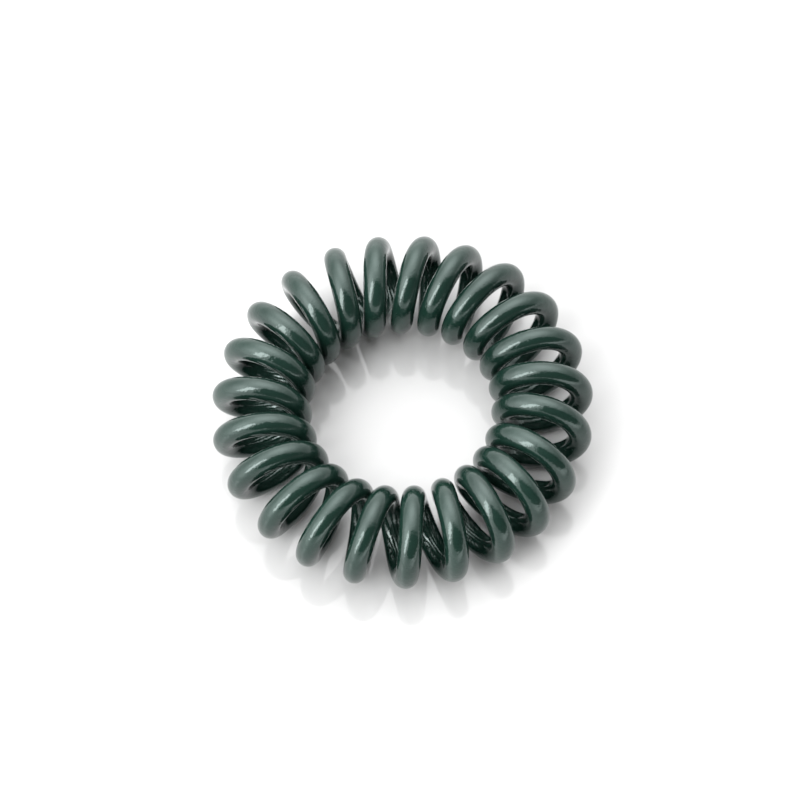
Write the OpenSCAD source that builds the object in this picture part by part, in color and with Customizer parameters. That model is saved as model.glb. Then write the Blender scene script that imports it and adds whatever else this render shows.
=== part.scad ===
// Spiral hair tie: one cord, wound into a coil whose two ends run into each other.
// It lies flat on z = 0, with the hair hole along Z and the photographed side towards -Y.

/* [Ring] */
// Diameter across the outside of the ring as it lies flat
ring_d = 52; // [51:0.5:58]
// Outside diameter of one turn of the coil, which is the height of the ring
coil_d = 13.8; // [12:0.2:14]

/* [Cord] */
// Thickness of the cord
cord_d = 3.2; // [2.6:0.1:3.4]
// Bearing that a strand has gained halfway in, as a share of what it gains in all
halfway_share = 0.42; // [0.36:0.02:0.5]
// How fast the cord swings round at its innermost and outermost points, 1 for an even spiral
end_swing = 0.6; // [0.4:0.1:1]

/* [Mesh] */
// Sides of the cord's section
cord_sides = 12; // [8:4:12]
// Sections of the cord in one turn
turn_sections = 20; // [16:4:20]

/* [Hidden] */
// Columns of the table of turns: bearing of the turn's outermost point, bearing of the innermost
// point that it leads to over the top, and how far the turn is pulled out past the others, in mm
OUTER = 0;
INNER = 1;
PULLED = 2;

// One row for each turn, counter-clockwise seen from above, starting at the side towards -Y
turns = [
    [268.5, 274.5, 0],
    [284, 290.5, 0.1],
    [300, 305.5, 0.2],
    [314.5, 321, 0.2],
    [329.5, 336, 0.2],
    [346, 353.5, 0.2],
    [361, 369, 0.2],
    [376.5, 384, 0.3],
    [392.5, 400, 0.4],
    [408, 416, 0.4],
    [423.5, 431, 0.1],
    [438, 446.5, 0],
    [453.5, 462.5, 0],
    [468.5, 477.5, 0],
    [485, 493, 0],
    [501, 508, 0],
    [516.5, 522.5, 0],
    [532, 539, 0],
    [547.5, 555, 0.1],
    [563.5, 570.5, 0.2],
    [580.5, 587.5, 0.2],
    [596, 604, 0.2],
    [612, 619, 0]
];
turn_count = len(turns);
section_count = turn_count * turn_sections;

// Radius of the circle that the coil winds round, and of the winding at the cord's centre
ring_r = (ring_d - coil_d) / 2;
wind_r = (coil_d - cord_d) / 2;
cord_r = cord_d / 2;

// Small step of a quarter turn for reading the cord's direction
direction_step = 0.01;

// Value of a column of the table at turn k, where the rows follow on round the ring
function laps(k) = floor(k / turn_count);
function row(k) = turns[k - turn_count * laps(k)];
function bearing_at(k, column) = row(k)[column] + 360 * laps(k);

// Bearing at quarter q of the winding, counted from the first turn's outermost point:
// outermost, over the top, innermost, underneath, and then the next turn's outermost
function quarter_bearing(q) =
    let (k = floor(q / 4), quarter = q - 4 * k)
    let (start = bearing_at(k, OUTER), inmost = bearing_at(k, INNER), end = bearing_at(k + 1, OUTER))
    quarter == 0 ? start :
    quarter == 1 ? start + halfway_share * (inmost - start) :
    quarter == 2 ? inmost :
    end - halfway_share * (end - inmost);

// Rate at which the bearing grows there, for each quarter
function quarter_rate(q) =
    (quarter_bearing(q + 1) - quarter_bearing(q - 1)) / 2 * (q % 2 == 0 ? end_swing : 1);

// Bearing anywhere along the winding, by a cubic between two quarters
function bearing(w) =
    let (q = floor(w), f = w - q)
    quarter_bearing(q) * (2 * f * f * f - 3 * f * f + 1)
        + quarter_bearing(q + 1) * (3 * f * f - 2 * f * f * f)
        + quarter_rate(q) * (f * f * f - 2 * f * f + f)
        + quarter_rate(q + 1) * (f * f * f - f * f);

// Centre of the cord at w quarters along the winding
function cord_centre(w) =
    let (phase = 90 * w, pulled = row(floor(w / 4 + 0.5))[PULLED] * (1 + cos(phase)) / 2)
    let (reach = ring_r + wind_r * cos(phase) + pulled)
    [reach * cos(bearing(w)), reach * sin(bearing(w)), coil_d / 2 + wind_r * sin(phase)];

function unit(v) = v / norm(v);

// Points round the cord's section, whose first point looks along the ring
function cord_section(w) =
    let (along = unit(cord_centre(w + direction_step) - cord_centre(w - direction_step)))
    let (ringwise = [-sin(bearing(w)), cos(bearing(w)), 0])
    let (side = unit(ringwise - (ringwise * along) * along), up = cross(along, side))
    [for (i = [0 : cord_sides - 1])
        cord_centre(w) + cord_r * (cos(360 * i / cord_sides) * side + sin(360 * i / cord_sides) * up)];

// All the points of the cord's skin, with the ring's extremes set evenly about the origin
skin = [for (s = [0 : section_count - 1]) each cord_section(4 * s / turn_sections)];
across = [for (p = skin) p.x];
deep = [for (p = skin) p.y];
middle = [(max(across) + min(across)) / 2, (max(deep) + min(deep)) / 2, 0];

// Four-cornered faces from each section to the next, the last one running into the first
function skin_face(s, i) =
    let (here = s * cord_sides, next = (s + 1) % section_count * cord_sides, j = (i + 1) % cord_sides)
    [here + i, next + i, next + j, here + j];

module coil() {
    color([0.09, 0.19, 0.17])
        translate(-middle)
            polyhedron(
                points = skin,
                faces = [for (s = [0 : section_count - 1], i = [0 : cord_sides - 1]) skin_face(s, i)]
            );
}

coil();
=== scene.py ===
"""Spiral hair tie: one glossy dark green cord, wound as a closed coil, lying flat on a white table."""

import math

import bpy
import numpy as np
from mathutils import Matrix, Vector


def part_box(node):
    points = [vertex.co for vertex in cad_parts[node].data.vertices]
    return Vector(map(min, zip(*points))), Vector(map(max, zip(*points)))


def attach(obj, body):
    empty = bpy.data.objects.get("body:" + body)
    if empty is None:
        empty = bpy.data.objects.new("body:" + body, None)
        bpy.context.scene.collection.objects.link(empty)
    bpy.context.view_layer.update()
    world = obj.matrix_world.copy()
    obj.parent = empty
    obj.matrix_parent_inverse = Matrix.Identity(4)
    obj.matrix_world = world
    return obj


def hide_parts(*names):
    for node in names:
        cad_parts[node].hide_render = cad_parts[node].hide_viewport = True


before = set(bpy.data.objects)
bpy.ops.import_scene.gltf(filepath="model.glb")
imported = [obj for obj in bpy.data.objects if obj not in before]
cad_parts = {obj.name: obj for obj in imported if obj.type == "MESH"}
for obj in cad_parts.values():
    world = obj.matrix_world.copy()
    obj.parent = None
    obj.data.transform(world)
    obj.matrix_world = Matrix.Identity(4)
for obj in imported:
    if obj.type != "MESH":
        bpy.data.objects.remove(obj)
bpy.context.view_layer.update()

bl_info = {
    "name": "Spiral Hair Tie",
    "version": (1, 0, 0),
    "blender": (4, 5, 0),
    "location": "3D View > Sidebar > Hair Tie",
    "description": "Winds a glossy coiled hair tie and sets a white table and soft lights round it",
    "category": "Object",
}

CORD_NODE = "coil"
CORD_BODY = "root"
MM = 0.001
WHOLE_TURN = 360
QUARTERS = 4

# Columns of the table of turns: bearing of the turn's outermost point, bearing of the innermost
# point that it leads to over the top, and how far the turn is pulled out past the others, in mm
OUTER = 0
INNER = 1
PULLED = 2

# One row for each turn, counter-clockwise seen from above, starting at the side towards -Y
TURNS = (
    (268.5, 274.5, 0),
    (284, 290.5, 0.1),
    (300, 305.5, 0.2),
    (314.5, 321, 0.2),
    (329.5, 336, 0.2),
    (346, 353.5, 0.2),
    (361, 369, 0.2),
    (376.5, 384, 0.3),
    (392.5, 400, 0.4),
    (408, 416, 0.4),
    (423.5, 431, 0.1),
    (438, 446.5, 0),
    (453.5, 462.5, 0),
    (468.5, 477.5, 0),
    (485, 493, 0),
    (501, 508, 0),
    (516.5, 522.5, 0),
    (532, 539, 0),
    (547.5, 555, 0.1),
    (563.5, 570.5, 0.2),
    (580.5, 587.5, 0.2),
    (596, 604, 0.2),
    (612, 619, 0),
)

# The baked finish is laid out as one strip for each turn, in columns of strips
STRIP_MAP = "OFBake"
STRIP_COLUMNS = 3
STRIP_GAP = 0.06

cad_low, cad_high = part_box(CORD_NODE)
cad_height = cad_high.z - cad_low.z


class HairTieSizes(bpy.types.PropertyGroup):
    """Sizes of the ring, the coil and the cord"""

    ring_width: bpy.props.FloatProperty(
        name="Ring width",
        description="Diameter across the outside of the ring as it lies flat",
        default=52 * MM,
        unit="LENGTH",
    )
    coil_height: bpy.props.FloatProperty(
        name="Coil height",
        description="Outside diameter of one turn of the coil",
        default=cad_height,
        unit="LENGTH",
    )
    cord_thickness: bpy.props.FloatProperty(
        name="Cord thickness",
        description="Thickness of the cord",
        default=3.2 * MM,
        unit="LENGTH",
    )
    halfway_share: bpy.props.FloatProperty(
        name="Halfway share",
        description="Bearing that a strand has gained halfway in, as a share of what it gains in all",
        default=0.42,
        subtype="FACTOR",
    )
    end_swing: bpy.props.FloatProperty(
        name="End swing",
        description="How fast the cord swings round at its innermost and outermost points",
        default=0.6,
        subtype="FACTOR",
    )
    cord_sides: bpy.props.IntProperty(
        name="Cord sides",
        description="Sides of the cord's section",
        default=32,
    )
    turn_sections: bpy.props.IntProperty(
        name="Turn sections",
        description="Sections of the cord in one turn",
        default=96,
    )


class HairTieFinish(bpy.types.PropertyGroup):
    """Colour and gloss of the moulded cord"""

    deep_green: bpy.props.FloatVectorProperty(
        name="Deep green",
        description="Colour of the cord where the dye is densest",
        default=(0.0055, 0.0178, 0.013),
        subtype="COLOR",
    )
    clear_green: bpy.props.FloatVectorProperty(
        name="Clear green",
        description="Colour of the cord where the dye is thinner",
        default=(0.0072, 0.0235, 0.017),
        subtype="COLOR",
    )
    gloss_tint: bpy.props.FloatVectorProperty(
        name="Gloss tint",
        description="Colour that the glossy skin gives to what it mirrors",
        default=(0.86, 1, 0.97),
        subtype="COLOR",
    )
    skin_roughness: bpy.props.FloatProperty(
        name="Skin roughness",
        description="Roughness of the glossy skin where it is cleanest",
        default=0.03,
        subtype="FACTOR",
    )
    smear_roughness: bpy.props.FloatProperty(
        name="Smear roughness",
        description="Roughness where handling has left the skin slightly dull",
        default=0.07,
        subtype="FACTOR",
    )
    ripple_length: bpy.props.FloatProperty(
        name="Ripple length",
        description="Length of the faint ripples in the moulded skin",
        default=0.8 * MM,
        unit="LENGTH",
    )
    ripple_height: bpy.props.FloatProperty(
        name="Ripple height",
        description="Height of the faint ripples in the moulded skin",
        default=0.035 * MM,
        unit="LENGTH",
    )


class HairTieStudio(bpy.types.PropertyGroup):
    """The table, the lights and the camera"""

    table_white: bpy.props.FloatVectorProperty(
        name="Table white",
        description="Colour of the table",
        default=(0.54, 0.54, 0.54),
        subtype="COLOR",
    )
    table_width: bpy.props.FloatProperty(
        name="Table width",
        description="Width of the square table",
        default=6.0,
        unit="LENGTH",
    )
    light_level: bpy.props.FloatProperty(
        name="Light level",
        description="Brightness of all the lights together",
        default=0.7,
    )
    camera_elevation: bpy.props.FloatProperty(
        name="Camera elevation",
        description="Height of the camera above the table, as an angle",
        default=math.radians(64.54),
        subtype="ANGLE",
    )
    camera_roll: bpy.props.FloatProperty(
        name="Camera roll",
        description="Turn of the camera about its line of sight",
        default=math.radians(-3.65),
        subtype="ANGLE",
    )
    camera_distance: bpy.props.FloatProperty(
        name="Camera distance",
        description="Distance from the camera to the middle of the ring",
        default=0.4,
        unit="LENGTH",
    )


class Amount:
    """A number that changes over a surface, written in sums and products."""

    def __init__(self, bench, socket):
        self.bench = bench
        self.socket = socket

    def maths(self, operation, first, second):
        values = {0: first, 1: second}
        return self.bench.add("ShaderNodeMath", {"operation": operation}, values).amount()

    def __add__(self, other):
        return self.maths("ADD", self, other)

    def __radd__(self, other):
        return self.maths("ADD", other, self)

    def __sub__(self, other):
        return self.maths("SUBTRACT", self, other)

    def __rsub__(self, other):
        return self.maths("SUBTRACT", other, self)

    def __mul__(self, other):
        return self.maths("MULTIPLY", self, other)

    def __rmul__(self, other):
        return self.maths("MULTIPLY", other, self)

    def exponential(self):
        """The number e raised to this amount."""
        return self.bench.add("ShaderNodeMath", {"operation": "EXPONENT"}, {0: self}).amount()


class Fitted:
    """A node that has been set, for reading its outputs."""

    def __init__(self, bench, node):
        self.bench = bench
        self.node = node

    def output(self, name=0):
        return self.node.outputs[name]

    def amount(self, name=0):
        return Amount(self.bench, self.node.outputs[name])


class Bench:
    """Nodes of one material or world, added by one method."""

    def __init__(self, owner):
        owner.use_nodes = True
        self.tree = owner.node_tree
        self.tree.nodes.clear()

    def add(self, kind, settings=None, values=None):
        """Adds a node, makes its settings and then gives its sockets their values or links."""
        node = self.tree.nodes.new(kind)
        for name, setting in (settings or {}).items():
            setattr(node, name, setting)
        for name, value in (values or {}).items():
            self.give(node.inputs[name], value)
        return Fitted(self, node)

    def give(self, socket, value):
        if isinstance(value, Amount):
            value = value.socket
        if isinstance(value, bpy.types.NodeSocket):
            self.tree.links.new(value, socket)
        else:
            socket.default_value = value

    def noise(self, place, length, detail):
        """Cloudy numbers from 0 to 1 whose patches are about this length across."""
        values = {"Vector": place, "Scale": 1 / length, "Detail": detail}
        return self.add("ShaderNodeTexNoise", None, values).amount("Fac")

    def steps(self, amount, low, high):
        """An amount stretched so that low becomes 0 and high becomes 1, and held there."""
        values = {"Value": amount, "From Min": low, "From Max": high}
        return self.add("ShaderNodeMapRange", {"clamp": True}, values).amount()

    def patches(self, place, length, detail, low, high):
        """Soft patches about this length across: 0 where the noise is low, 1 where it is high."""
        return self.steps(self.noise(place, length, detail), low, high)

    def blend(self, share, first, second):
        """A colour between two colours."""
        values = {"Factor": share, "A": (*first, 1), "B": (*second, 1)}
        node = self.add("ShaderNodeMix", {"data_type": "RGBA"})
        sockets = {socket.identifier: socket for socket in node.node.inputs}
        for name, value in values.items():
            kind = "Float" if name == "Factor" else "Color"
            self.give(sockets[f"{name}_{kind}"], value)
        return next(s for s in node.node.outputs if s.identifier == "Result_Color")


def bearing_at(turn, column):
    """Bearing in a column of the table, where the rows follow on round the ring."""
    laps, row = divmod(turn, len(TURNS))
    return TURNS[row][column] + WHOLE_TURN * laps


def quarter_bearing(quarter, halfway_share):
    """Bearing at a quarter of the winding: outermost, over the top, innermost, underneath."""
    turn, part = divmod(quarter, QUARTERS)
    start = bearing_at(turn, OUTER)
    inmost = bearing_at(turn, INNER)
    end = bearing_at(turn + 1, OUTER)
    return (
        start,
        start + halfway_share * (inmost - start),
        inmost,
        end - halfway_share * (end - inmost),
    )[part]


def bearings(winding, sizes):
    """Bearings in radians along the winding, counted in quarters, by a cubic between two quarters."""
    # One mark more than the cubics need stands at either end, for the rates there
    first = -1
    last = len(TURNS) * QUARTERS + 2
    marks = np.array([quarter_bearing(q, sizes.halfway_share) for q in range(first, last + 1)])
    swing = np.where(np.arange(first + 1, last) % 2 == 0, sizes.end_swing, 1)
    rates = (marks[2:] - marks[:-2]) / 2 * swing
    marks = marks[1:-1]
    quarter = np.floor(winding).astype(int)
    f = winding - quarter
    degrees = (
        marks[quarter] * (2 * f**3 - 3 * f**2 + 1)
        + marks[quarter + 1] * (3 * f**2 - 2 * f**3)
        + rates[quarter] * (f**3 - 2 * f**2 + f)
        + rates[quarter + 1] * (f**3 - f**2)
    )
    return np.radians(degrees)


def cord_centres(winding, sizes):
    """Bearings and centres of the cord along the winding, counted in quarters."""
    winding = winding % (len(TURNS) * QUARTERS)
    ring_radius = (sizes.ring_width - sizes.coil_height) / 2
    wind_radius = (sizes.coil_height - sizes.cord_thickness) / 2
    phase = winding * math.pi / 2
    nearest = np.floor(winding / QUARTERS + 0.5).astype(int) % len(TURNS)
    pulled = np.array([row[PULLED] * MM for row in TURNS])[nearest] * (1 + np.cos(phase)) / 2
    reach = ring_radius + wind_radius * np.cos(phase) + pulled
    bearing = bearings(winding, sizes)
    height = sizes.coil_height / 2 + wind_radius * np.sin(phase)
    return bearing, np.stack([reach * np.cos(bearing), reach * np.sin(bearing), height], axis=1)


def unit(vectors):
    return vectors / np.linalg.norm(vectors, axis=1)[:, None]


def cord_skin(sizes):
    """Points of the cord's skin, section by section, the first point of each looking along the ring."""
    small_step = 0.01
    winding = np.arange(len(TURNS) * sizes.turn_sections) * QUARTERS / sizes.turn_sections
    bearing, centre = cord_centres(winding, sizes)
    centre_before = cord_centres(winding - small_step, sizes)[1]
    centre_after = cord_centres(winding + small_step, sizes)[1]
    along = unit(centre_after - centre_before)
    ringwise = np.stack([-np.sin(bearing), np.cos(bearing), 0 * bearing], axis=1)
    side = unit(ringwise - (ringwise * along).sum(axis=1)[:, None] * along)
    up = np.cross(along, side)
    turn = np.arange(sizes.cord_sides) * 2 * math.pi / sizes.cord_sides
    round_section = (
        np.cos(turn)[None, :, None] * side[:, None, :] + np.sin(turn)[None, :, None] * up[:, None, :]
    )
    skin = centre[:, None, :] + sizes.cord_thickness / 2 * round_section
    points = skin.reshape(-1, 3)
    middle = (points.min(axis=0) + points.max(axis=0)) / 2
    middle[2] = 0
    return points - middle


def skin_faces(section_count, sides):
    """Four-cornered faces from each section to the next, the last one running into the first."""
    section, side = np.meshgrid(np.arange(section_count), np.arange(sides), indexing="ij")
    following = (section + 1) % section_count
    beside = (side + 1) % sides
    corners = (
        section * sides + side,
        following * sides + side,
        following * sides + beside,
        section * sides + beside,
    )
    return np.stack(corners, axis=-1).reshape(-1, 4)


def lay_strips(mesh, sizes):
    """Lays the skin out flat, one strip for each turn: along the cord across, round it upwards."""
    rows = math.ceil(len(TURNS) / STRIP_COLUMNS)
    section, side = np.meshgrid(
        np.arange(len(TURNS) * sizes.turn_sections), np.arange(sizes.cord_sides), indexing="ij"
    )
    turn = section // sizes.turn_sections
    start = (section % sizes.turn_sections) / sizes.turn_sections
    end = start + 1 / sizes.turn_sections
    low = side / sizes.cord_sides
    high = low + 1 / sizes.cord_sides
    along = np.stack([start, end, end, start], axis=-1)
    round_cord = np.stack([low, low, high, high], axis=-1)
    column = (turn // rows)[..., None]
    row = (turn % rows)[..., None]
    inset = STRIP_GAP / 2
    across = (column + inset + along * (1 - STRIP_GAP)) / STRIP_COLUMNS
    upward = (row + inset + round_cord * (1 - STRIP_GAP)) / rows
    layer = mesh.uv_layers.new(name=STRIP_MAP)
    layer.data.foreach_set("uv", np.stack([across, upward], axis=-1).astype(np.float32).ravel())


def moulded_green(finish):
    """Glossy moulded plastic, dyed dark green, with faint clouds, ripples, specks and dull smears."""
    material = bpy.data.materials.new("moulded_green")
    bench = Bench(material)
    place = bench.add("ShaderNodeTexCoord").output("Object")

    clouds = bench.patches(place, length=9 * MM, detail=3, low=0.35, high=0.65)
    colour = bench.blend(clouds, finish.deep_green, finish.clear_green)

    smears = bench.patches(place, length=4 * MM, detail=4, low=0.45, high=0.75)
    roughness = finish.skin_roughness + smears * (finish.smear_roughness - finish.skin_roughness)

    fine_share = 0.25
    ripples = bench.noise(place, finish.ripple_length, detail=2)
    fine_ripples = bench.noise(place, finish.ripple_length * fine_share, detail=2)
    height = ripples + fine_ripples * fine_share

    speck_share = 0.35
    specks = bench.patches(place, length=0.45 * MM, detail=1, low=0.7, high=0.78)
    height = height + specks * speck_share
    values = {"Strength": 1, "Distance": finish.ripple_height, "Height": height}
    normal = bench.add("ShaderNodeBump", None, values).output("Normal")

    skin = {
        "Base Color": colour,
        "Roughness": roughness,
        "Normal": normal,
        "IOR": 1.5,
        "Specular IOR Level": 0.72,
        "Specular Tint": (*finish.gloss_tint, 1),
    }
    shader = bench.add("ShaderNodeBsdfPrincipled", None, skin).output()
    bench.add("ShaderNodeOutputMaterial", None, {"Surface": shader})
    return material


def table_top(studio):
    """Smooth white table with a soft gloss."""
    material = bpy.data.materials.new("table_top")
    bench = Bench(material)
    values = {
        "Base Color": (*studio.table_white, 1),
        "Roughness": 0.02,
        "Specular IOR Level": 0.36,
    }
    shader = bench.add("ShaderNodeBsdfPrincipled", None, values).output()
    bench.add("ShaderNodeOutputMaterial", None, {"Surface": shader})
    return material


class HAIRTIE_OT_wind_cord(bpy.types.Operator):
    """Winds the cord into its closed coil and gives it its green gloss"""

    bl_idname = "hair_tie.wind_cord"
    bl_label = "Wind the Cord"

    def execute(self, context):
        sizes = context.scene.hair_tie_sizes
        points = cord_skin(sizes)
        faces = skin_faces(len(TURNS) * sizes.turn_sections, sizes.cord_sides)
        mesh = bpy.data.meshes.new("spiral_cord")
        mesh.from_pydata(points.tolist(), [], faces.tolist())
        mesh.shade_smooth()
        lay_strips(mesh, sizes)
        mesh.materials.append(moulded_green(context.scene.hair_tie_finish))
        cord = bpy.data.objects.new("spiral_cord", mesh)
        context.scene.collection.objects.link(cord)
        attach(cord, CORD_BODY)
        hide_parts(CORD_NODE)
        return {"FINISHED"}


# Soft glows of the studio, each swelling towards one direction. Columns: bearing (0 right, 90
# behind, 180 left, 270 in front), height as an angle, the angle at which the glow has halved, all
# in degrees, and brightness
GLOWS = {
    "behind": (78, 59, 31, 5.2),
    "left": (198, 42, 28, 5.4),
    "left_low": (210, 0, 15, 1.2),
    "behind_low": (95, 2, 27, 0.9),
    "front_low": (298, 1, 23, 1.8),
    "right_low": (335, 2, 14, 0.8),
}
AIR_BRIGHTNESS = 0.7

# Paler air near the horizon: how bright it is there, and how far up it has faded, as a part of a
# direction's length
HAZE_BRIGHTNESS = 0.9
HAZE_UP = 0.34

# The studio is dark in front, where this share of the light is missing. The darkness has three soft
# edges, each from where it starts to where it is full, as parts of a direction's length
DARK_SHARE = 0.85

# The lower edge: how far up, along an axis that leans to the right by this part of its height
DARK_LEAN = 0.25
DARK_UP = (0.26, 0.32)

# The edge overhead: how far forward
DARK_FORWARD = (0.1, 0.27)

# The left edge: how far to the right of a plane at this bearing, whose top leans to the right by
# this angle, both in degrees
DARK_LEFT_EDGE = 234
DARK_LEFT_LEAN = 7
DARK_RIGHT = (-0.02, 0.02)

# The window is a narrow bright light at the left and in front: bearing, height, width and tallness
# as angles in degrees, brightness, and distance in metres
WINDOW_BEARING = 214
WINDOW_ELEVATION = 42
WINDOW_WIDTH = 16
WINDOW_TALLNESS = 54
WINDOW_BRIGHTNESS = 7.8
WINDOW_DISTANCE = 1.6


def direction(bearing, elevation):
    """Direction of length 1 at a bearing and a height above the table, both in degrees."""
    around = math.radians(bearing)
    above = math.radians(elevation)
    level = math.cos(above)
    return Vector((math.cos(around) * level, math.sin(around) * level, math.sin(above)))


def hang_window(studio):
    """A tall bright light that looks at the tie, and that the camera doesn't see.

    A lamp's energy is its brightness times its area and pi.
    """
    out = direction(WINDOW_BEARING, WINDOW_ELEVATION)
    lamp = bpy.data.lights.new("window", "AREA")
    lamp.shape = "RECTANGLE"
    lamp.size = 2 * WINDOW_DISTANCE * math.tan(math.radians(WINDOW_WIDTH) / 2)
    lamp.size_y = 2 * WINDOW_DISTANCE * math.tan(math.radians(WINDOW_TALLNESS) / 2)
    lamp.energy = WINDOW_BRIGHTNESS * studio.light_level * math.pi * lamp.size * lamp.size_y
    light = bpy.data.objects.new("window", lamp)
    light.location = out * WINDOW_DISTANCE
    light.rotation_mode = "QUATERNION"
    light.rotation_quaternion = (-out).to_track_quat("-Z", "Y")
    light.visible_camera = False
    bpy.context.scene.collection.objects.link(light)


def studio_light(bench):
    """Brightness of the studio in each direction: soft glows on a dim air, and darkness in front."""
    look = bench.add("ShaderNodeTexCoord").output("Generated")

    def towards(way):
        values = {0: look, 1: way}
        return bench.add("ShaderNodeVectorMath", {"operation": "DOT_PRODUCT"}, values).amount("Value")

    light = AIR_BRIGHTNESS + HAZE_BRIGHTNESS * bench.steps(towards((0, 0, 1)), HAZE_UP, 0)
    for bearing, elevation, half_angle, brightness in GLOWS.values():
        narrowness = math.log(2) / (1 - math.cos(math.radians(half_angle)))
        nearness = (towards(direction(bearing, elevation)) - 1) * narrowness
        light = light + brightness * nearness.exponential()
    dark = bench.steps(towards((DARK_LEAN, 0, 1)), *DARK_UP)
    dark = dark * bench.steps(towards((0, -1, 0)), *DARK_FORWARD)
    dark = dark * bench.steps(towards(direction(DARK_LEFT_EDGE + 90, -DARK_LEFT_LEAN)), *DARK_RIGHT)
    return light * (1 - DARK_SHARE * dark)


def set_air(studio):
    """White behind everything for the camera, and the studio's light for all that is lit by it."""
    world = bpy.data.worlds.new("air")
    bench = Bench(world)
    seen = bench.add("ShaderNodeLightPath").output("Is Camera Ray")
    values = {"Color": (1, 1, 1, 1), "Strength": studio_light(bench) * studio.light_level}
    lighting = bench.add("ShaderNodeBackground", None, values)
    behind = bench.add("ShaderNodeBackground", None, {"Color": (1, 1, 1, 1), "Strength": 1})
    values = {"Fac": seen, 1: lighting.output(), 2: behind.output()}
    both = bench.add("ShaderNodeMixShader", None, values).output()
    bench.add("ShaderNodeOutputWorld", None, {"Surface": both})
    bpy.context.scene.world = world


def lay_table(studio):
    half = studio.table_width / 2
    corners = [(-half, -half, 0), (half, -half, 0), (half, half, 0), (-half, half, 0)]
    mesh = bpy.data.meshes.new("table")
    mesh.from_pydata(corners, [], [(0, 1, 2, 3)])
    mesh.materials.append(table_top(studio))
    table = bpy.data.objects.new("table", mesh)
    bpy.context.scene.collection.objects.link(table)


# Centre that the turns' bearings go round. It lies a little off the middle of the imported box
RING_CENTRE = (-0.16 * MM, 0.02 * MM)

# Where that centre lies in the photograph, in pixels, and how many pixels one metre spans there
PHOTO_SIDE = 800
RING_MIDDLE_ACROSS = 401.6
RING_MIDDLE_DOWN = 408.4
PIXELS_PER_METRE = 7329

# Width of the camera's sensor in mm, and the nearest distance that it shows in metres
SENSOR_WIDTH = 36
NEAREST_SEEN = 0.01


def set_camera(studio):
    """Looks down at the ring from the front, as far away and as tilted as the photograph shows."""
    elevation = studio.camera_elevation
    forward = Vector((0, math.cos(elevation), -math.sin(elevation)))
    level = Vector((1, 0, 0))
    upright = level.cross(forward)
    roll = studio.camera_roll
    right = math.cos(roll) * level + math.sin(roll) * upright
    up = math.cos(roll) * upright - math.sin(roll) * level
    ring_middle = Vector((*RING_CENTRE, cad_height / 2))
    place = ring_middle - studio.camera_distance * forward
    aim = (
        ring_middle
        - right * ((RING_MIDDLE_ACROSS - PHOTO_SIDE / 2) / PIXELS_PER_METRE)
        + up * ((RING_MIDDLE_DOWN - PHOTO_SIDE / 2) / PIXELS_PER_METRE)
    )
    lens = bpy.data.cameras.new("camera")
    lens.sensor_width = SENSOR_WIDTH
    lens.lens = PIXELS_PER_METRE * studio.camera_distance * SENSOR_WIDTH / PHOTO_SIDE
    lens.clip_start = NEAREST_SEEN
    camera = bpy.data.objects.new("camera", lens)
    camera.location = place
    camera.rotation_mode = "QUATERNION"
    look = (aim - place).normalized()
    sight_right = look.cross(up).normalized()
    sight_up = sight_right.cross(look)
    camera.rotation_quaternion = Matrix((sight_right, sight_up, -look)).transposed().to_quaternion()
    bpy.context.scene.collection.objects.link(camera)
    bpy.context.scene.camera = camera


class HAIRTIE_OT_set_stage(bpy.types.Operator):
    """Lays the white table, hangs the soft lights and sets up the camera"""

    bl_idname = "hair_tie.set_stage"
    bl_label = "Set the Stage"

    def execute(self, context):
        studio = context.scene.hair_tie_studio
        lay_table(studio)
        hang_window(studio)
        set_air(studio)
        set_camera(studio)
        context.scene.view_settings.view_transform = "Standard"
        return {"FINISHED"}


class HAIRTIE_PT_tools(bpy.types.Panel):
    """Lists the hair tie's sizes, its finish, its stage and what makes them"""

    bl_idname = "HAIRTIE_PT_tools"
    bl_label = "Hair Tie"
    bl_space_type = "VIEW_3D"
    bl_region_type = "UI"
    bl_category = "Hair Tie"

    def draw(self, context):
        layout = self.layout
        groups = (
            (context.scene.hair_tie_sizes, None),
            (context.scene.hair_tie_finish, HAIRTIE_OT_wind_cord),
            (context.scene.hair_tie_studio, HAIRTIE_OT_set_stage),
        )
        for group, operator in groups:
            for name in group.__annotations__:
                layout.prop(group, name)
            if operator:
                layout.operator(operator.bl_idname)


CLASSES = (
    HairTieSizes,
    HairTieFinish,
    HairTieStudio,
    HAIRTIE_OT_wind_cord,
    HAIRTIE_OT_set_stage,
    HAIRTIE_PT_tools,
)


def register():
    for each in CLASSES:
        bpy.utils.register_class(each)
    bpy.types.Scene.hair_tie_sizes = bpy.props.PointerProperty(type=HairTieSizes)
    bpy.types.Scene.hair_tie_finish = bpy.props.PointerProperty(type=HairTieFinish)
    bpy.types.Scene.hair_tie_studio = bpy.props.PointerProperty(type=HairTieStudio)


def unregister():
    del bpy.types.Scene.hair_tie_studio
    del bpy.types.Scene.hair_tie_finish
    del bpy.types.Scene.hair_tie_sizes
    for each in reversed(CLASSES):
        bpy.utils.unregister_class(each)


def main():
    register()
    bpy.ops.hair_tie.wind_cord()
    bpy.ops.hair_tie.set_stage()


if __name__ == "__main__":
    main()
